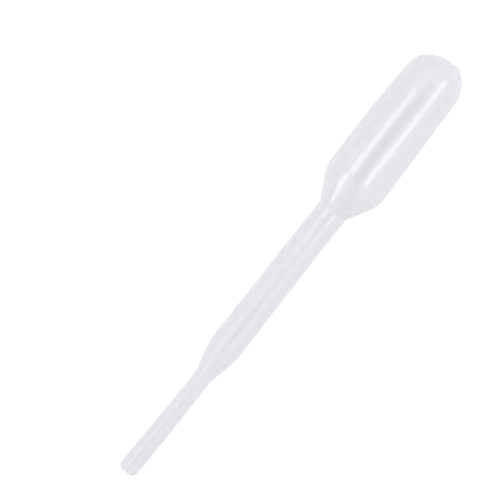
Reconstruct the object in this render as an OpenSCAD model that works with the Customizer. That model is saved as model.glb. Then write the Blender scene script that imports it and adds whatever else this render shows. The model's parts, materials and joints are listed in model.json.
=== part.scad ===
// Small one-piece dropper pipette, blow moulded in soft natural polyethylene and hollow throughout.
// It lies on a flat surface as it comes to rest, on the shoulder of its bulb and on the lip of its tip.
// The bulb points along +X, the surface is z = 0, and all sizes are in millimetres.

/* [Overall] */
// Length from the mouth of the tip to the top of the dome
length = 65; // [63:0.5:68]
// Thickness of the moulded wall in the stem and the bulb
wall = 0.4; // [0.3:0.05:0.5]
// How far the hollow lies off the outer axis: the wall is thickest on the side the pipette lies on
drift = 0.1; // [0:0.01:0.15]

/* [Bulb] */
// Largest diameter of the squeeze bulb
bulb_d = 8.2; // [7.8:0.1:8.8]
// Height above the mouth at which the bulb is widest
bulb_z = 46.4; // [45.5:0.1:47.5]
// Radius of the barrel curve that draws the bulb in towards its dome
barrel_r = 375; // [300:5:500]
// Half angle of the shoulder's cone, in degrees
shoulder_a = 29.3; // [25:0.1:34]
// Radius of the rounded upper edge of the shoulder
shoulder_r = 4; // [2.5:0.1:4.5]
// Radius in the corner where the shoulder leaves the stem
root_r = 0.6; // [0.3:0.1:1.2]
// Thickness of the closed end
dome_wall = 0.5; // [0.4:0.05:0.7]

/* [Stem] */
// Outer diameter of the stem under the shoulder
stem_top_d = 3.86; // [3.6:0.02:4]
// Outer diameter of the stem above the lower taper
stem_low_d = 4.1; // [4:0.02:4.3]
// Height above the mouth at which the lower taper meets the stem
taper_z = 19.05; // [18.5:0.05:20]
// Radius of the long round between the two
taper_r = 12; // [6:0.5:14]

/* [Tip] */
// Outer diameter of the straight end of the tip
mouth_d = 2.42; // [2.3:0.02:2.6]
// Length of that straight end
straight = 3; // [2:0.5:5]
// Outer diameter of the tip under the lower taper
neck_d = 2.2; // [2.1:0.02:2.3]
// Height above the mouth at which the tip meets the lower taper
neck_z = 15.4; // [14.8:0.1:16]
// Radius in that corner
neck_r = 4; // [1.5:0.1:4.5]
// Diameter of the bore at the mouth
bore_d = 1.4; // [1.3:0.05:1.5]
// Diameter of the bore under the lower taper
throat_d = 1.3; // [1:0.05:1.35]
// Rounding of the outer edge of the mouth
lip_r = 0.12; // [0.06:0.01:0.16]

/* [Hidden] */
$fn = 48;
// How far a round reaches past the straight lines it joins, so that they always cross
ease = 0.0002;
// Half angle of the lower taper's cone
taper_a = atan((stem_low_d - neck_d) / 2 / (taper_z - neck_z));
// Slope at which the pipette lies: one line touches the lip's round and the shoulder's round
gap = [bulb_d / 2 - shoulder_r - mouth_d / 2 + lip_r, bulb_z - lip_r];
lie_a = atan(gap.x / gap.y) + asin((shoulder_r - lip_r) / norm(gap));
// Height of the middle of the mouth above the surface
lift = lip_r + (mouth_d / 2 - lip_r) * cos(lie_a) - lip_r * sin(lie_a);
// Radius of the dome's ball, and how far the dome and the mouth reach to either side of the mouth's middle
ball = cap_r(0, length);
front = (length - ball) * cos(lie_a) + ball;
rear = lip_r * cos(lie_a) - (mouth_d / 2 - lip_r) * sin(lie_a) - lip_r;
// How far the mouth's middle lies behind the origin
back = (front + rear) / 2;
// How far the bore's outline runs past the mouth, and how much it widens over that stretch
past = 1;
flare = past * (bore_d - throat_d) / 2 / neck_z;

function unit(v) = v / norm(v);
function left(v) = [-v.y, v.x];
// Radius of the ball that closes the bulb at the height top, w inside its outer surface
function cap_r(w, top) = let (b = barrel_r - w, m = bulb_d / 2 - w, h = top - bulb_z)
  (2 * b * m - m * m - h * h) / 2 / (b - h);
// Distance from corner q, between p and s, to either end of a round of radius r
function run(p, q, s, r) = r * norm(unit(q - p) - unit(s - q)) / norm(unit(q - p) + unit(s - q));
function first(p, q, s, r) = q - run(p, q, s, r) * unit(q - p);
function last(p, q, s, r) = q + run(p, q, s, r) * unit(s - q);

// The filled round of an outward corner, held to a strip a little wider than its chord
module outward(p, q, s, r) {
  a = first(p, q, s, r);
  b = last(p, q, s, r);
  u = 0.2 * unit(b - a);
  out = -r * left(unit(b - a));
  intersection() {
    translate(a + r * left(unit(q - p))) circle(r + ease);
    polygon([a - u + left(u), a - u + out, b + u + out, b + u + left(u)]);
  }
}

// The filling of an inward corner, hollowed by its round
module inward(p, q, s, r) {
  a = first(p, q, s, r);
  b = last(p, q, s, r);
  difference() {
    polygon([a, b, b + 0.3 * left(unit(s - q)), q + 0.3 * left(unit(b - a)), a + 0.3 * left(unit(q - p))]);
    translate(a - r * left(unit(q - p))) circle(r + ease);
  }
}

// Half of the lengthwise section, filled to the axis, a wall w inside the outer surface.
// tip holds its points from the axis up to the cone of the tip, and high is the radius at that cone's top.
module half(w, tip, high, top) {
  m = tip[len(tip) - 1];
  t = [stem_low_d / 2 - w, taper_z + w * tan(taper_a / 2)];
  n = [high, t.y - (t.x - high) / tan(taper_a)];
  s = [bulb_d / 2 - w, bulb_z];
  c = [s.x, bulb_z - (shoulder_r - w) * tan(shoulder_a / 2)];
  k = [stem_top_d / 2 - w, c.y - (c.x - stem_top_d / 2 + w) / tan(shoulder_a)];
  cap = cap_r(w, top);
  rise = atan((top - cap - bulb_z) / (barrel_r - w - s.x));
  polygon(concat(tip, [
    n, first(n, t, k, taper_r - w), last(n, t, k, taper_r - w), k,
    first(k, c, s, shoulder_r - w), s, [0, bulb_z]
  ]));
  inward(m, n, t, neck_r + w);
  outward(n, t, k, taper_r - w);
  inward(t, k, c, root_r + w);
  outward(k, c, s, shoulder_r - w);
  intersection() {
    translate([bulb_d / 2 - barrel_r, bulb_z]) circle(barrel_r - w, $fn = 1440);
    translate([0, bulb_z]) square([bulb_d, (barrel_r - w) * sin(rise)]);
  }
  intersection() {
    translate([0, top - cap]) circle(cap + ease);
    translate([0, top - cap]) square(cap + 1);
  }
}

module pipette() {
  low = [0, 0];
  rim = [mouth_d / 2, 0];
  end = [mouth_d / 2, straight];
  outer_tip = [low, first(low, rim, end, lip_r), last(low, rim, end, lip_r), end];
  inner_tip = [[0, -past], [bore_d / 2 + flare, -past]];
  color([0.9, 0.9, 0.93])
    translate([-back, 0, lift])
      rotate([0, 90 - lie_a, 0])
        difference() {
          rotate_extrude() {
            half(0, outer_tip, neck_d / 2, length);
            outward(low, rim, end, lip_r);
          }
          translate([-drift, 0, 0])
            rotate_extrude()
              half(wall, inner_tip, throat_d / 2, length - dome_wall);
        }
}

pipette();
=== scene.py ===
"""A small one-piece dropper pipette in natural polyethylene, lying on a white table."""
import json
import bpy
import numpy as np
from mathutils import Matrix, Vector


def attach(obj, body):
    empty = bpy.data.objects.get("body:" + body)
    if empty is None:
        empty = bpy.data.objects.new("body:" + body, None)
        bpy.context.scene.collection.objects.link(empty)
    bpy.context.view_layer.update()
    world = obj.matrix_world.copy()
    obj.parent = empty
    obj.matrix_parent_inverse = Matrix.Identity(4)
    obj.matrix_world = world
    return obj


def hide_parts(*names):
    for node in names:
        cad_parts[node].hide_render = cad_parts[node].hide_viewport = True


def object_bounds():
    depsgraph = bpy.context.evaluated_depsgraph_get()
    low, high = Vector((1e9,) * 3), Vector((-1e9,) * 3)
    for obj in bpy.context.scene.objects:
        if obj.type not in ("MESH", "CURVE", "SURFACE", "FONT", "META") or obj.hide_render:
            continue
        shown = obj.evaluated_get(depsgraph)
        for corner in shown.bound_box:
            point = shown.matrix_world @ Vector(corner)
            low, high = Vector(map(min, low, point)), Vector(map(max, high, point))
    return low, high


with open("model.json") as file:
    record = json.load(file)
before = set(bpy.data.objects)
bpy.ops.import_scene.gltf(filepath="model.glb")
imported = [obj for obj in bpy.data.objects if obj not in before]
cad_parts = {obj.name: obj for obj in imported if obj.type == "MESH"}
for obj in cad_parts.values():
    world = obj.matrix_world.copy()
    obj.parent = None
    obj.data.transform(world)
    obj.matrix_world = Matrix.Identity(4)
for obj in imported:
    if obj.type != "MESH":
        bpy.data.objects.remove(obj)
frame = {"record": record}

cad_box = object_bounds()

# ---- Sizes of the moulding, in millimetres from the mouth along the pipette's axis ----
LENGTH = 65.0           # mouth to the top of the dome
BULB_R = 4.1            # widest radius of the bulb
BULB_AT = 46.66         # where the bulb is widest
BARREL_R = 375.0        # curve that draws the bulb in towards its dome
SHOULDER_ANGLE = 29.3   # half angle of the shoulder's cone, degrees
SHOULDER_R = 5.0        # round at the top of the shoulder
ROOT_R = 0.6            # round where the shoulder leaves the stem
STEM_TOP_R = 1.93       # stem under the shoulder
STEM_LOW_R = 2.05       # stem above the lower taper
TAPER_AT = 19.05        # where the lower taper meets the stem
TAPER_R = 12.0          # long round between the two
NECK_R = 1.1            # tip under the lower taper
NECK_AT = 15.4          # where the tip meets the lower taper
NECK_ROUND = 4.0        # round in that corner
TIP_R = 1.21            # straight end of the tip
TIP_STRAIGHT = 3.0      # its length
FLARE_ROUND = 30.0      # long round where the tip's flare meets that end
LIP_R = 0.24            # worn outer edge of the mouth
BORE_EDGE = 0.06        # inner edge of the mouth
WALL = 0.4              # thickness in the bulb and the stem
TIP_WALL = 0.46         # thickness in the tip
MOUTH_WALL = 0.51       # thickness at the mouth
DOME_WALL = 0.5         # thickness at the top of the dome

# ---- How finely the surface is cut up ----
COLUMNS = 180           # points round the wall
STEP = 0.45             # spacing of the rings on straight stretches, millimetres

# ---- How far the bulb is out of round ----
OVAL = 0.035            # height of the oval, millimetres
ROLL = 0.05             # height that the roll beside the bulb's top is scaled by, millimetres
ROLL_AT = 1.885         # turn about the axis at the roll's middle, radians from one side
ROLL_WIDTH = 0.314      # its width, radians


def unit(v):
    """The same direction with length one."""
    return v / np.linalg.norm(v, axis=-1, keepdims=True)


def read_frame():
    """Foot, axis and up direction of the pipette, and how far its hollow lies above the axis.

    The tip's mount lies on the outer axis and points out of the mouth. The mouth's mount is the
    middle of the hollow's end, so the foot of its plumb line on the axis is the middle of the mouth.
    """
    mounts = {m["name"]: m for m in frame["record"]["mounts"]}
    along = -np.array(mounts["tip"]["axis"])
    centre = np.array(mounts["tip"]["pos_m"])
    mouth = np.array(mounts["mouth"]["pos_m"])
    foot = centre + along * np.dot(mouth - centre, along)
    above = mouth - foot
    return foot, along, unit(above), np.linalg.norm(above) * 1000


FOOT, ALONG, UP, DRIFT = read_frame()
SIDE = np.cross(UP, ALONG)
LEAN = float(np.arctan2(ALONG[2], ALONG[0]))


# ---- Outline of the wall ----

def round_corner(before, at, after, radius, count=10):
    """Points of the round that takes the place of a corner.

    The centre lies on the corner's bisector, radius / sin(half the angle) away, and the points turn
    evenly about it from the one tangent point to the other.
    """
    before, at, after = (np.array(p, float) for p in (before, at, after))
    a, b = unit(before - at), unit(after - at)
    half = 0.5 * np.arccos(np.clip(a @ b, -1, 1))
    centre = at + unit(a + b) * radius / np.sin(half)
    start = at + a * radius / np.tan(half) - centre
    end = at + b * radius / np.tan(half) - centre
    turn = np.pi - 2 * half
    t = np.linspace(0, 1, count)[:, None]
    return centre + (np.sin((1 - t) * turn) * start + np.sin(t * turn) * end) / np.sin(turn)


def arc(centre, radius, start, end, count):
    """Points of a circle: centre plus radius times (cosine, sine) of an even run of angles."""
    t = np.linspace(start, end, count)
    return np.array(centre) + radius * np.stack([np.cos(t), np.sin(t)], 1)


def thicken_runs(points, step):
    """The same outline with points added on its straight stretches, no further apart than step."""
    length = np.linalg.norm(np.diff(points, axis=0), axis=1)
    parts = np.maximum(1, np.ceil(length / step)).astype(int)
    index = np.repeat(np.arange(len(parts)), parts)
    share = (np.arange(parts.sum()) - np.repeat(np.cumsum(parts) - parts, parts)) / parts[index]
    inner = points[index] + share[:, None] * (points[index + 1] - points[index])
    return np.vstack([inner, points[-1]])


def outside_outline():
    """The outer half section as (radius, height), from the top of the dome down to the mouth."""
    rise = LENGTH - BULB_AT
    ball = (2 * BARREL_R * BULB_R - BULB_R ** 2 - rise ** 2) / 2 / (BARREL_R - rise)
    barrel_centre = (BULB_R - BARREL_R, BULB_AT)
    ball_centre = (0, LENGTH - ball)
    lean = np.arctan2(ball_centre[1] - BULB_AT, -barrel_centre[0])
    cone = np.tan(np.radians(SHOULDER_ANGLE))
    crown = np.array([BULB_R, BULB_AT])
    below = SHOULDER_R * np.tan(np.radians(SHOULDER_ANGLE) / 2)
    shoulder = crown - [0, below]
    root = np.array([STEM_TOP_R, shoulder[1] - (BULB_R - STEM_TOP_R) / cone])
    taper = np.array([STEM_LOW_R, TAPER_AT])
    neck = np.array([NECK_R, NECK_AT])
    end = np.array([TIP_R, TIP_STRAIGHT])
    rim = np.array([TIP_R, 0])
    return np.vstack([
        arc(ball_centre, ball, np.pi / 2, lean, 44),
        arc(barrel_centre, BARREL_R, lean, 0, 34)[1:],
        round_corner(crown, shoulder, root, SHOULDER_R, 22)[1:],
        round_corner(shoulder, root, taper, ROOT_R, 12),
        round_corner(root, taper, neck, TAPER_R, 14),
        round_corner(taper, neck, end, NECK_ROUND, 12),
        round_corner(neck, end, rim, FLARE_ROUND, 8),
        round_corner(end, rim, (0, 0), LIP_R, 9),
    ])


def wall_thickness(height):
    """Thickness of the wall: even in bulb and stem, more in the dome and the tip, most at the mouth."""
    places = [0, NECK_AT - 1, NECK_AT + 3, 60, 64.9]
    return np.interp(height, places, [MOUTH_WALL, TIP_WALL, WALL, WALL, DOME_WALL])


def wall_outline():
    """The whole section of the wall: down the outside, round the mouth and up the inside.

    The inside is the outside moved in along its own normal by the wall's thickness.
    Returns the points and, for each, its normal and how far through the wall it lies, 0 or 1.
    """
    outside = thicken_runs(outside_outline(), STEP)
    slope = unit(np.gradient(outside, axis=0))
    normal = np.stack([-slope[:, 1], slope[:, 0]], 1)
    normal[0] = [0, 1]
    kept = outside[:, 1] > LIP_R + 0.05
    inside = (outside - normal * wall_thickness(outside[:, 1])[:, None])[kept][::-1]
    inside_normal = -normal[kept][::-1]
    bore = inside[0] * [1, 0]
    edge = round_corner((outside[-1][0], 0), bore, inside[0], BORE_EDGE, 6)
    edge_normal = unit(edge - (bore + [BORE_EDGE, BORE_EDGE]))
    points = np.vstack([outside, edge, inside])
    normals = np.vstack([normal, edge_normal, inside_normal])
    depth = np.concatenate([np.zeros(len(outside)), np.linspace(0, 1, len(edge)), np.ones(len(inside))])
    points[[0, -1], 0] = 0
    return points, normals, depth


# ---- Small departures from a turned shape ----

def ease(x, low, high):
    """A smooth step from 0 at low to 1 at high: 3t squared minus 2t cubed."""
    t = np.clip((x - low) / (high - low), 0, 1)
    return t * t * (3 - 2 * t)


def swell(x, at, width):
    """A bell of height one: e to the power of minus the square of (x - at) / width."""
    return np.exp(-((x - at) / width) ** 2)


def sideways(height):
    """How far the axis wanders to the side: the tip bends from the neck, the bulb leans to and fro.

    The tip's bend is a square and a straight share of x, which runs from 0 at 14 millimetres to 1 at
    the mouth, less a small step that is eased in at the neck. The bulb's lean is two bells, one to
    each side.
    """
    x = np.clip(1 - height / 14, 0, None)
    tip = 0.168 * x * x + 0.114 * x - 0.068 * (1 - ease(height, 14, 21))
    return tip - 0.065 * swell(height, 45, 4) + 0.06 * swell(height, 57, 5)


def dome_shift(across, up):
    """How much higher the dome stands: it is squarer at its edge and flatter in its middle than a ball.

    The pinched side bulges, then falls away outside that.
    """
    bulge = 0.27 * swell(across, -1.6, 0.95) - 0.26 * swell(across, -3.45, 0.35)
    away = np.hypot(across, up)
    squarer = 0.2 * swell(away, 3.65, 0.7) - 0.09 * (1 - ease(away, 1.5, 3))
    return bulge * swell(up, 0, 2.4) + squarer


def trim(across):
    """How far the cut end stands back: a slightly slanted cut, worn rounder on one side than the other."""
    worn = 0.42 * np.clip((across - 0.45) / 0.76, 0, 1) ** 2.6
    other = 0.2 * np.clip((-across - 0.75) / 0.46, 0, 1) ** 2.5
    return -0.04 * across + worn + other


def seam(up, height):
    """The parting line: a fine ridge on the plane between the mould's halves, broader over the dome."""
    over_dome = ease(height, 61, 64)
    line = 0.03 * swell(up, 0, 0.06) * ease(height, 0.5, 2)
    return line * (1 - over_dome) + 0.05 * swell(up, 0, 0.14) * over_dome


def rolled(height, turn):
    """How far the bulb is out of round: an oval at 45 degrees, and a roll beside the bulb's top.

    The oval is the sine of twice the turn. The roll is x times e to the minus x squared, where x is
    the turn from the roll's middle over its width, and it changes sign between shoulder and dome.
    """
    x = (turn - ROLL_AT) / ROLL_WIDTH
    share = 0.7 * swell(height, 56, 5) - 0.6 * swell(height, 47, 5)
    return OVAL * swell(height, 48.5, 6) * np.sin(2 * turn) + ROLL * share * x * np.exp(-x * x)


def uneven(height, turn):
    """How far the hollow reaches into the wall: its drift, plus three long waves that twist along it.

    The drift goes with the cube of the turn's sine and the waves with its square. So the wall is
    thinner on top and thicker below, and even along the two parting lines.
    """
    up = np.sin(turn)
    waves = (0.020 * np.sin(2 * turn + 0.21 * height + 0.7)
             + 0.012 * np.sin(3 * turn - 0.34 * height + 2.1)
             + 0.008 * np.sin(5 * turn + 0.55 * height + 4.0))
    return DRIFT * up ** 3 + waves * up ** 2 * ease(height, 12, 20) * (1 - ease(height, 61, 64))


def moulding():
    """The wall as one closed surface, as a function of place along the section and turn about the axis.

    A point is foot + axis * height + (side * cosine + up * sine) * radius. Columns gather at the two
    parting lines, where the turn is 0 and 180 degrees: turn = u - 0.35 sin 2u for an even u.
    """
    points, normals, depth = wall_outline()
    u = np.linspace(0, 2 * np.pi, COLUMNS, endpoint=False)
    turn = (u - 0.35 * np.sin(2 * u))[None, :]
    radius, height = points[:, :1], points[:, 1:]
    out, rise, depth = normals[:, :1], normals[:, 1:], depth[:, None]
    away = (seam(radius * np.sin(turn), height) + rolled(height, turn)) * (1 - depth)
    away = away - uneven(height, turn) * depth
    radius = radius + out * away
    height = height + rise * away
    across, up = radius * np.cos(turn), radius * np.sin(turn)
    height = height + dome_shift(across, up) * ease(height, 60.5, 62.5)
    height = height + trim(across) * (1 - ease(height, 0, 1.8))
    across = across + sideways(height)
    return FOOT + 0.001 * (height[..., None] * ALONG + across[..., None] * SIDE + up[..., None] * UP)


def closed_surface(name, rings):
    """A mesh from rings of points: its first and last rings are single points, the two poles."""
    count, columns = rings.shape[:2]
    vertices = np.vstack([rings[0, :1], rings[1:-1].reshape(-1, 3), rings[-1, :1]])
    last = len(vertices) - 1
    here = np.arange(columns)
    following = (here + 1) % columns
    ring = 1 + np.arange(count - 3)[:, None] * columns
    a, b = ring + here, ring + following
    quads = np.stack([a, a + columns, b + columns, b], 2).reshape(-1, 4)
    top = np.stack([np.zeros(columns, int), 1 + here, 1 + following], 1)
    end = last - columns
    bottom = np.stack([np.full(columns, last), end + following, end + here], 1)
    loops = np.concatenate([quads.ravel(), top.ravel(), bottom.ravel()])
    sizes = np.concatenate([np.full(len(quads), 4), np.full(2 * columns, 3)])
    mesh = bpy.data.meshes.new(name)
    mesh.vertices.add(len(vertices))
    mesh.vertices.foreach_set("co", vertices.astype(np.float32).ravel())
    mesh.loops.add(len(loops))
    mesh.loops.foreach_set("vertex_index", loops.astype(np.int32))
    mesh.polygons.add(len(sizes))
    mesh.polygons.foreach_set("loop_start", np.concatenate([[0], np.cumsum(sizes)[:-1]]).astype(np.int32))
    mesh.polygons.foreach_set("use_smooth", np.ones(len(sizes), bool))
    mesh.update(calc_edges=True)
    mesh.validate()
    thing = bpy.data.objects.new(name, mesh)
    bpy.context.scene.collection.objects.link(thing)
    return thing


# ---- Materials ----

def new_material(name):
    """An empty node material: returns it with its tree, its Principled BSDF and its output."""
    material = bpy.data.materials.new(name)
    material.use_nodes = True
    tree = material.node_tree
    return material, tree, tree.nodes["Principled BSDF"], tree.nodes["Material Output"]


def noise_on(tree, vector, scale, detail=2.0, roughness=0.5):
    """A noise texture on the given vector: returns its value socket."""
    node = tree.nodes.new("ShaderNodeTexNoise")
    node.inputs["Scale"].default_value = scale
    node.inputs["Detail"].default_value = detail
    node.inputs["Roughness"].default_value = roughness
    tree.links.new(vector, node.inputs["Vector"])
    return node.outputs["Fac"]


def turned_vector(tree, stretch, start=(0, 0, 0)):
    """Object coordinates turned so that x runs along the pipette, scaled by stretch, then moved by start."""
    place = tree.nodes.new("ShaderNodeTexCoord")
    mapping = tree.nodes.new("ShaderNodeMapping")
    mapping.inputs["Rotation"].default_value = (0, LEAN, 0)
    mapping.inputs["Scale"].default_value = stretch
    mapping.inputs["Location"].default_value = start
    tree.links.new(place.outputs["Object"], mapping.inputs["Vector"])
    return mapping.outputs["Vector"]


def grey(level):
    """An opaque grey."""
    return (level, level, level, 1)


def ramp_of(tree, value, *stops):
    """A colour ramp over a value, from stops of place and colour."""
    node = tree.nodes.new("ShaderNodeValToRGB")
    elements = node.color_ramp.elements
    for number, (place, colour) in enumerate(stops):
        stop = elements[number] if number < 2 else elements.new(place)
        stop.position = place
        stop.color = colour
    tree.links.new(value, node.inputs["Fac"])
    return node.outputs["Color"]


def times(tree, first, second):
    """Two colours multiplied."""
    node = tree.nodes.new("ShaderNodeMix")
    node.data_type = "RGBA"
    node.blend_type = "MULTIPLY"
    node.inputs[0].default_value = 1
    tree.links.new(first, node.inputs[6])
    tree.links.new(second, node.inputs[7])
    return node.outputs[2]


def along_pipette(tree):
    """The place along the pipette, from about 0 at the mouth to about 1 at the top of the dome."""
    split = tree.nodes.new("ShaderNodeSeparateXYZ")
    tree.links.new(turned_vector(tree, (1000 / LENGTH, 1, 1), (0.5, 0, 0)), split.inputs[0])
    return split.outputs["X"]


def milk(tree, along):
    """A milky, faintly violet colour with soft clouds, darkest in the tip and palest in the bulb."""
    cloud = noise_on(tree, turned_vector(tree, (220, 500, 500)), 1.0, 3.0)
    clouded = ramp_of(tree, cloud, (0.3, (0.923, 0.913, 0.972, 1)), (0.7, (0.938, 0.928, 0.986, 1)))
    paler = ramp_of(tree, along, (0.05, (0.96, 0.96, 0.97, 1)), (0.25, grey(0.985)), (0.6, grey(0.995)),
                    (0.68, grey(1)))
    return times(tree, clouded, paler)


def gloss(tree, along):
    """Weight of the clear coat: full on the bulb, faint on the tip, the taper and the shoulder's root.

    The stem has more of it at its two ends than between them. It fades where the skin turns away.
    """
    shine = ramp_of(tree, along, (0.3, grey(0.2)), (0.322, grey(0.85)), (0.36, grey(0.7)),
                    (0.45, grey(0.38)), (0.55, grey(0.26)), (0.6, grey(0.35)), (0.628, grey(0.65)),
                    (0.637, grey(0.15)), (0.644, grey(0.15)), (0.652, grey(1)))
    tilt = tree.nodes.new("ShaderNodeLayerWeight").outputs["Facing"]
    rim = ramp_of(tree, tilt, (0.5, grey(1)), (0.85, grey(0.05)))
    return times(tree, shine, rim)


def fine_roughness(tree):
    """A roughness that varies a little, in short flecks drawn out along the pipette."""
    fleck = noise_on(tree, turned_vector(tree, (900, 2600, 2600)), 1.0, 4.0, 0.6)
    return ramp_of(tree, fleck, (0.3, grey(0.13)), (0.7, grey(0.19)))


def drawn_lines(tree):
    """A normal with very shallow lines drawn out along the pipette."""
    line = noise_on(tree, turned_vector(tree, (60, 3200, 3200)), 1.0, 3.0, 0.6)
    bump = tree.nodes.new("ShaderNodeBump")
    bump.inputs["Strength"].default_value = 0.05
    bump.inputs["Distance"].default_value = 0.00002
    tree.links.new(line, bump.inputs["Height"])
    return bump.outputs["Normal"]


def polyethylene():
    """Natural low-density polyethylene: its haze lets a fifth of the light straight through each skin."""
    material, tree, skin, _ = new_material("polyethylene")
    skin.inputs["Alpha"].default_value = 0.8
    skin.inputs["IOR"].default_value = 1.51
    skin.inputs["Specular IOR Level"].default_value = 0.3
    skin.inputs["Coat IOR"].default_value = 1.86
    skin.inputs["Coat Roughness"].default_value = 0.03
    along = along_pipette(tree)
    tree.links.new(milk(tree, along), skin.inputs["Base Color"])
    tree.links.new(fine_roughness(tree), skin.inputs["Roughness"])
    tree.links.new(gloss(tree, along), skin.inputs["Coat Weight"])
    tree.links.new(drawn_lines(tree), skin.inputs["Normal"])
    return material


def reckon(tree, operation, first, second):
    """A sum on two values, either of which may be a plain number."""
    node = tree.nodes.new("ShaderNodeMath")
    node.operation = operation
    for socket, value in zip(node.inputs, (first, second)):
        if isinstance(value, (int, float)):
            socket.default_value = value
        else:
            tree.links.new(value, socket)
    return node.outputs[0]


def table_white():
    """Matt white that shows as plain white to the camera and through plastic, and partly so in gloss.

    The rest of it is lit paint, so it still takes a soft shadow.
    """
    material, tree, paint, output = new_material("table_white")
    paint.inputs["Base Color"].default_value = (0.9, 0.9, 0.9, 1)
    paint.inputs["Roughness"].default_value = 0.9
    glow = tree.nodes.new("ShaderNodeEmission")
    glow.inputs["Color"].default_value = (1, 1, 1, 1)
    glow.inputs["Strength"].default_value = 1.1
    rays = tree.nodes.new("ShaderNodeLightPath")
    direct = reckon(tree, "MAXIMUM", rays.outputs["Is Camera Ray"], rays.outputs["Is Transmission Ray"])
    mirrored = reckon(tree, "MULTIPLY", rays.outputs["Is Glossy Ray"], 0.6)
    share = reckon(tree, "MULTIPLY", reckon(tree, "MAXIMUM", direct, mirrored), 0.8)
    mix = tree.nodes.new("ShaderNodeMixShader")
    tree.links.new(share, mix.inputs["Fac"])
    tree.links.new(paint.outputs["BSDF"], mix.inputs[1])
    tree.links.new(glow.outputs["Emission"], mix.inputs[2])
    tree.links.new(mix.outputs["Shader"], output.inputs["Surface"])
    return material


# ---- Table, light and camera ----

LAMP_AWAY = 0.4         # from the middle of the pipette to each lamp, metres


def lay_table(size=3.0):
    """A flat white table, level with the lowest point of the pipette."""
    low = cad_box[0][2]
    corners = [(-size, -size, low), (size, -size, low), (size, size, low), (-size, size, low)]
    mesh = bpy.data.meshes.new("table_top")
    mesh.from_pydata(corners, [], [(0, 1, 2, 3)])
    table = bpy.data.objects.new("table_top", mesh)
    bpy.context.scene.collection.objects.link(table)
    mesh.materials.append(table_white())


def gap_overhead(tree, start, end, middle, edge, haste=17.0):
    """How far a direction lies outside the dark gap, from 0 in its middle to 1 at its edge and beyond.

    The gap runs straight from start to end, seen from below: the distance from that line is eased.
    Beyond the start, towards +X, the distance counts haste times as much, so the gap stops short there.
    """
    flat = tree.nodes.new("ShaderNodeVectorMath")
    flat.operation = "SUBTRACT"
    flat.inputs[1].default_value = (start[0], start[1], 0)
    tree.links.new(tree.nodes.new("ShaderNodeTexCoord").outputs["Generated"], flat.inputs[0])
    split = tree.nodes.new("ShaderNodeSeparateXYZ")
    tree.links.new(flat.outputs["Vector"], split.inputs[0])
    beyond = reckon(tree, "MULTIPLY", split.outputs["X"], haste)
    plan = tree.nodes.new("ShaderNodeCombineXYZ")
    tree.links.new(reckon(tree, "MAXIMUM", split.outputs["X"], beyond), plan.inputs["X"])
    tree.links.new(split.outputs["Y"], plan.inputs["Y"])
    run = np.array([end[0] - start[0], end[1] - start[1], 0.0])
    reach = tree.nodes.new("ShaderNodeVectorMath")
    reach.operation = "DOT_PRODUCT"
    reach.inputs[1].default_value = run / run.dot(run)
    tree.links.new(plan.outputs["Vector"], reach.inputs[0])
    share = reckon(tree, "MINIMUM", reckon(tree, "MAXIMUM", reach.outputs["Value"], 0.0), 1.0)
    foot = tree.nodes.new("ShaderNodeVectorMath")
    foot.operation = "SCALE"
    foot.inputs[0].default_value = run
    tree.links.new(share, foot.inputs["Scale"])
    apart = tree.nodes.new("ShaderNodeVectorMath")
    apart.operation = "DISTANCE"
    tree.links.new(plan.outputs["Vector"], apart.inputs[0])
    tree.links.new(foot.outputs["Vector"], apart.inputs[1])
    fade = ramp_of(tree, apart.outputs["Value"], (middle, grey(0)), (edge, grey(1)))
    fade.node.color_ramp.interpolation = "EASE"
    return share, fade


def surround(levels, start, end, middle, edge, darkest, faintest, sided):
    """A grey room: its light goes by the height of the direction, from the horizon (0) to overhead (1).

    A dark gap between the lamps crosses it, darkest at its start and faintest at its end. The light is
    stronger by the share sided towards -Y, and weaker by the same share towards +Y.
    """
    world = bpy.data.worlds.new("room")
    bpy.context.scene.world = world
    world.use_nodes = True
    tree = world.node_tree
    split = tree.nodes.new("ShaderNodeSeparateXYZ")
    tree.links.new(tree.nodes.new("ShaderNodeTexCoord").outputs["Generated"], split.inputs[0])
    room = ramp_of(tree, split.outputs["Z"], *[(height, grey(level)) for height, level in levels])
    room.node.color_ramp.interpolation = "EASE"
    share, fade = gap_overhead(tree, start, end, middle, edge)
    gap = ramp_of(tree, share, (0.0, grey(darkest)), (1.0, grey(faintest)))
    dim = tree.nodes.new("ShaderNodeMix")
    dim.data_type = "RGBA"
    tree.links.new(fade, dim.inputs[0])
    tree.links.new(gap, dim.inputs[6])
    dim.inputs[7].default_value = grey(1)
    lean = reckon(tree, "SUBTRACT", 1.0, reckon(tree, "MULTIPLY", split.outputs["Y"], sided))
    lit = times(tree, times(tree, room, lean), dim.outputs[2])
    tree.links.new(lit, tree.nodes["Background"].inputs["Color"])


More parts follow.
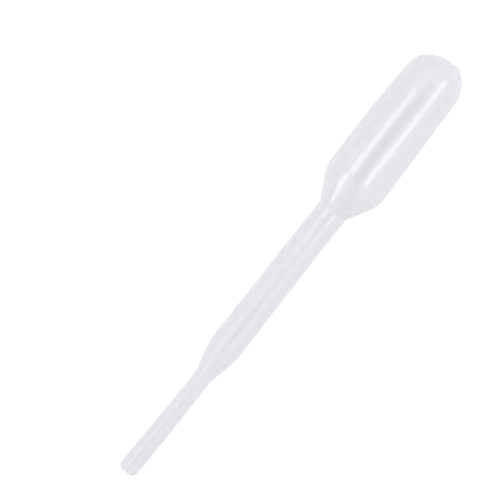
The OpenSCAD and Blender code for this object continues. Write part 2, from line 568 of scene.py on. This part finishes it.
def softbox(name, target, direction, distance, width, length, radiance, spin=0.0):
    """A flat lamp that faces the target from a direction, with an even brightness over its face.

    Its power is the radiance times pi times its area, and spin turns it about its own aim, in degrees.
    """
    lamp = bpy.data.lights.new(name, "AREA")
    lamp.shape = "RECTANGLE"
    lamp.size = width
    lamp.size_y = length
    lamp.energy = radiance * np.pi * width * length
    thing = bpy.data.objects.new(name, lamp)
    aim = unit(np.array(direction, float))
    thing.location = Vector(target) + Vector(aim) * distance
    turn = Vector(aim).to_track_quat("Z", "Y").to_euler()
    turn.rotate_axis("Z", np.radians(spin))
    thing.rotation_euler = turn
    bpy.context.scene.collection.objects.link(thing)
    return thing


def set_camera(middle, along, aside, width, turn):
    """Looks straight down through a long lens: along and aside move the aim on the table.

    The picture spans width, in metres, at the pipette's middle, and is rolled by turn, in degrees.
    """
    camera = bpy.data.cameras.new("camera")
    camera.lens = 500
    camera.sensor_width = 36
    distance = width * camera.lens / camera.sensor_width
    camera.clip_start = 0.05
    camera.clip_end = 20
    thing = bpy.data.objects.new("camera", camera)
    thing.location = (middle[0] + along, middle[1] + aside, middle[2] + distance)
    thing.rotation_euler = (0, 0, np.radians(turn))
    bpy.context.scene.collection.objects.link(thing)
    bpy.context.scene.camera = thing


body = closed_surface("dropper_body", moulding())
body.data.materials.append(polyethylene())
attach(body, "root")
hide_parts("pipette")

low_corner, high_corner = (np.array(corner) for corner in cad_box)
centre = (low_corner + high_corner) / 2
lay_table()
surround(levels=[(0.0, 0.65), (1.0, 0.6), (0.12, 0.82), (0.35, 0.97), (0.92, 0.97)],
         start=(-0.04, -0.014), end=(-0.82, -0.30), middle=0.12, edge=0.38,
         darkest=0.02, faintest=0.62, sided=0.06)
softbox("near_strip", centre, (-0.0155, 0.535, 0.845), LAMP_AWAY,
        width=0.0585, length=0.142, radiance=1.1, spin=-5.7)
softbox("far_strip", centre, (-0.0015, -0.61, 0.79), LAMP_AWAY,
        width=0.0665, length=0.135, radiance=1.2, spin=5.7)
softbox("long_box", centre, (-0.5669, 0.59, 0.5756), LAMP_AWAY,
        width=0.39, length=0.14, radiance=1.38, spin=-47)
softbox("end_box", centre, (0.413, -0.552, 0.735), LAMP_AWAY,
        width=0.26, length=0.125, radiance=1.5, spin=-37)
set_camera(centre, along=-0.0012, aside=0.005043, width=0.06202, turn=-51.95)

bpy.context.scene.view_settings.view_transform = "Standard"
